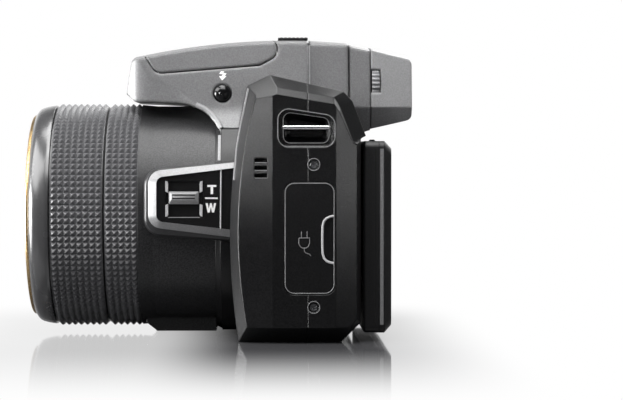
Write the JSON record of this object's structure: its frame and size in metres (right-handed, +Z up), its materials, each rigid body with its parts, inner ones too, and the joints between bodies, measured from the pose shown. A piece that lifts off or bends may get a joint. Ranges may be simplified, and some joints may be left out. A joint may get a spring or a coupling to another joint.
{
  "type": "bridge camera",
  "caption": "Bridge camera with a fixed zoom lens in knurled rings, a hump with pop-up flash and eye-level finder, a hand grip and a screen on a swing arm.",
  "frame": {"origin": "mouth of the tripod socket, in the base plane, straight under the lens axis", "axes": "+Z up; -Y is where the lens points; +X is the camera's own left side, opposite the hand grip"},
  "size_m": [0.1184, 0.1119, 0.0874],
  "materials": {
    "casing_plastic": "fine moulded grain, satin",
    "cover_plastic": "moulded, satin",
    "grip_rubber": "moulded pebble grain, matt",
    "knurl_rubber": "pyramid knurling",
    "gloss_black": "polished",
    "gold_metal": "gold anodised, satin",
    "steel": "turned and plated",
    "bare_steel_sheet": "pressed sheet",
    "glass": "coated, polished",
    "display_glass": "hard-coated, glossy",
    "lamp_window": "ribbed clear plastic",
    "lamp_reflector": "metallised",
    "board": "solder-masked laminate",
    "battery_wrap": "sleeved cell",
    "soft_rubber": "moulded, matt",
    "tripod_brass": "turned, threaded"
  },
  "bodies": {
    "camera_body": {"battery": "battery_wrap", "case_screws": "steel", "chassis": "bare_steel_sheet", "circuit_boards": "board", "eyecup": "soft_rubber", "finder_cover": "cover_plastic", "finder_neck": "cover_plastic", "finder_optics": "glass", "front_casing": "casing_plastic", "grip_rubber": "grip_rubber", "knurled_ring_front": "knurl_rubber", "knurled_ring_rear": "knurl_rubber", "lens_accent_ring": "gold_metal", "lens_barrel": "casing_plastic", "lens_nose_ring": "gloss_black", "lens_rear_glass": "glass", "lens_rear_group": "cover_plastic", "memory_card": "board", "microphone_grille": "gloss_black", "port_bay": "casing_plastic", "port_sockets": "steel", "rear_casing": "casing_plastic", "sensor_module": "board", "speaker": "battery_wrap", "steel_pins": "steel", "strap_bar": "steel", "strap_pocket": "casing_plastic", "thumb_pad": "grip_rubber", "top_cover": "casing_plastic", "tripod_socket": "tripod_brass", "zoom_motor": "steel", "zoom_switch_frame": "cover_plastic", "zoom_switch_panel": "gloss_black"},
    "lens_tube_one": {"lens_tube_outer": "casing_plastic"},
    "lens_tube_two": {"lens_tube_inner": "casing_plastic", "lens_front_bezel": "cover_plastic", "lens_front_glass": "glass"},
    "flash_head": {"flash_lid": "cover_plastic", "flash_window": "lamp_window", "flash_lamp": "lamp_reflector"},
    "flash_key": {"flash_key": "gloss_black"},
    "zoom_slider": {"zoom_slider": "gloss_black"},
    "port_door": {"port_door": "cover_plastic"},
    "battery_door": {"battery_door": "cover_plastic"},
    "dioptre_wheel": {"dioptre_wheel": "casing_plastic"},
    "mode_dial": {"mode_dial": "casing_plastic"},
    "command_dial": {"command_dial": "casing_plastic"},
    "power_lever": {"power_lever": "casing_plastic"},
    "shutter_button": {"shutter_button": "gloss_black"},
    "menu_key": {"menu_key": "gloss_black"},
    "playback_key": {"playback_key": "gloss_black"},
    "centre_key": {"centre_key": "gloss_black"},
    "control_pad": {"control_pad": "gloss_black"},
    "finder_key": {"finder_key": "gloss_black"},
    "screen_arm": {"screen_arm": "cover_plastic", "screen_arm_leaf": "bare_steel_sheet"},
    "screen": {"screen_back_cover": "casing_plastic", "screen_bezel": "casing_plastic", "screen_display": "display_glass", "screen_hinge_pin": "steel"}
  },
  "joints": [
    {"name": "zoom_tube_one", "type": "slide", "parent": "camera_body", "child": "lens_tube_one", "axis": [0, -1, 0], "range_m": [0, 0.02]},
    {"name": "zoom_tube_two", "type": "slide", "parent": "lens_tube_one", "child": "lens_tube_two", "axis": [0, -1, 0], "range_m": [0, 0.018]},
    {"name": "flash_hinge", "type": "hinge", "parent": "camera_body", "child": "flash_head", "pos_m": [0, -0.0073, 0.0835], "axis": [-1, 0, 0], "range_deg": [0, 50]},
    {"name": "flash_key_press", "type": "slide", "parent": "camera_body", "child": "flash_key", "axis": [-1, 0, 0], "range_m": [0, 0.0006], "stiffness_N_per_m": 900, "springref_m": -0.0006},
    {"name": "zoom_slider_shift", "type": "slide", "parent": "camera_body", "child": "zoom_slider", "axis": [0, 0, 1], "range_m": [-0.0023, 0.0023], "stiffness_N_per_m": 300},
    {"name": "port_door_hinge", "type": "hinge", "parent": "camera_body", "child": "port_door", "pos_m": [0.0505, -0.002, 0.0346], "axis": [0, 0, -1], "range_deg": [0, 95]},
    {"name": "battery_door_hinge", "type": "hinge", "parent": "camera_body", "child": "battery_door", "pos_m": [-0.048, -0.036, 0], "axis": [0, -1, 0], "range_deg": [0, 95]},
    {"name": "dioptre_turn", "type": "hinge", "parent": "camera_body", "child": "dioptre_wheel", "pos_m": [0.01286, 0.0239, 0.0734], "axis": [0, 1, 0], "range_deg": [-70, 70]},
    {"name": "mode_dial_turn", "type": "hinge", "parent": "camera_body", "child": "mode_dial", "pos_m": [-0.034, 0.002, 0.071], "axis": [0, 0, 1], "continuous": true},
    {"name": "command_dial_turn", "type": "hinge", "parent": "camera_body", "child": "command_dial", "pos_m": [-0.0482, 0.0152, 0.04999], "axis": [0, 0, 1], "continuous": true},
    {"name": "power_lever_turn", "type": "hinge", "parent": "camera_body", "child": "power_lever", "pos_m": [-0.057, -0.029, 0.06357], "axis": [0, -0.1598, 0.9871], "range_deg": [0, 25]},
    {"name": "shutter_press", "type": "slide", "parent": "camera_body", "child": "shutter_button", "axis": [0, 0.1598, -0.9871], "range_m": [0, 0.0008], "stiffness_N_per_m": 900, "springref_m": -0.0006},
    {"name": "menu_key_press", "type": "slide", "parent": "camera_body", "child": "menu_key", "axis": [0, -1, 0], "range_m": [0, 0.0006], "stiffness_N_per_m": 900, "springref_m": -0.0006},
    {"name": "playback_key_press", "type": "slide", "parent": "camera_body", "child": "playback_key", "axis": [0, -1, 0], "range_m": [0, 0.0006], "stiffness_N_per_m": 900, "springref_m": -0.0006},
    {"name": "centre_key_press", "type": "slide", "parent": "camera_body", "child": "centre_key", "axis": [0, -1, 0], "range_m": [0, 0.0006], "stiffness_N_per_m": 900, "springref_m": -0.0006},
    {"name": "control_pad_press", "type": "slide", "parent": "camera_body", "child": "control_pad", "axis": [0, -1, 0], "range_m": [0, 0.0006], "stiffness_N_per_m": 900, "springref_m": -0.0006},
    {"name": "finder_key_press", "type": "slide", "parent": "camera_body", "child": "finder_key", "axis": [0, -0.9324, -0.3615], "range_m": [0, 0.0006], "stiffness_N_per_m": 900, "springref_m": -0.0006},
    {"name": "screen_tilt", "type": "hinge", "parent": "screen_arm", "child": "screen", "pos_m": [0, 0.0172, 0.0421], "axis": [1, 0, 0], "range_deg": [0, 135]},
    {"name": "screen_arm_swing", "type": "hinge", "parent": "camera_body", "child": "screen_arm", "pos_m": [0, 0.0172, 0.0106], "axis": [-1, 0, 0], "range_deg": [0, 85]}
  ],
  "couplings": [
    {"joint": "zoom_tube_two", "follows": "zoom_tube_one", "ratio": 0.9},
    {"joint": "screen_arm_swing", "follows": "screen_tilt", "ratio": 0.33333}
  ]
}
